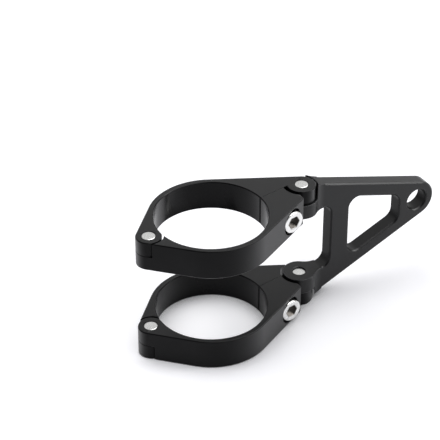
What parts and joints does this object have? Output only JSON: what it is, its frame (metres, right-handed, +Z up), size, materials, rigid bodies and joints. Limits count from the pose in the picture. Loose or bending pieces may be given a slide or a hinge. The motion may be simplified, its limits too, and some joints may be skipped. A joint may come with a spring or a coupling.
{
  "type": "headlight mounting bracket",
  "caption": "Hinged fork clamps, each closed by a socket screw, that carry a flat windowed arm on upright pivots for bolting on one side of a motorbike headlight.",
  "frame": {"origin": "fork axis at the lower clamp's base", "axes": "+Z up the fork tube, +X from the fork along the arm to the headlight bolt, +Y from the screws' side to the carrier's side"},
  "size_m": [0.1261, 0.0454, 0.0511],
  "materials": {
    "black_anodised": "satin black anodised",
    "pin_steel": "ground",
    "screw_steel": "bright"
  },
  "bodies": {
    "lower_clamp": {"lower_clamp_body": "black_anodised", "lower_hinge_pin": "pin_steel", "lower_pivot_pin": "pin_steel"},
    "arm": {"headlight_arm": "black_anodised"},
    "upper_clamp": {"upper_clamp_body": "black_anodised", "upper_hinge_pin": "pin_steel", "upper_pivot_pin": "pin_steel"},
    "lower_jaw": {"lower_clamp_jaw": "black_anodised"},
    "upper_jaw": {"upper_clamp_jaw": "black_anodised"},
    "lower_screw": {"lower_clamp_screw": "screw_steel"},
    "upper_screw": {"upper_clamp_screw": "screw_steel"}
  },
  "joints": [
    {"name": "arm_swivel", "type": "hinge", "parent": "lower_clamp", "child": "arm", "pos_m": [0.038, 0, 0], "axis": [0, 0, 1], "range_deg": [-85, 45]},
    {"name": "upper_clamp_swivel", "type": "hinge", "parent": "arm", "child": "upper_clamp", "pos_m": [0.038, 0, 0.0511], "axis": [0, 0, 1], "range_deg": [-45, 85]},
    {"name": "lower_jaw_hinge", "type": "hinge", "parent": "lower_clamp", "child": "lower_jaw", "pos_m": [-0.0252, 0, 0], "axis": [0, 0, -1], "range_deg": [0, 0.9]},
    {"name": "upper_jaw_hinge", "type": "hinge", "parent": "upper_clamp", "child": "upper_jaw", "pos_m": [-0.0252, 0, 0.0511], "axis": [0, 0, -1], "range_deg": [0, 0.9]},
    {"name": "lower_screw_slide", "type": "slide", "parent": "lower_clamp", "child": "lower_screw", "axis": [0.1392, -0.9903, 0], "range_m": [0, 0.0008]},
    {"name": "upper_screw_slide", "type": "slide", "parent": "upper_clamp", "child": "upper_screw", "axis": [0.1392, -0.9903, 0], "range_m": [0, 0.0008]}
  ],
  "couplings": [
    {"joint": "lower_screw_slide", "follows": "lower_jaw_hinge", "m_per_rad": 0.04996},
    {"joint": "upper_screw_slide", "follows": "upper_jaw_hinge", "m_per_rad": 0.04996}
  ]
}
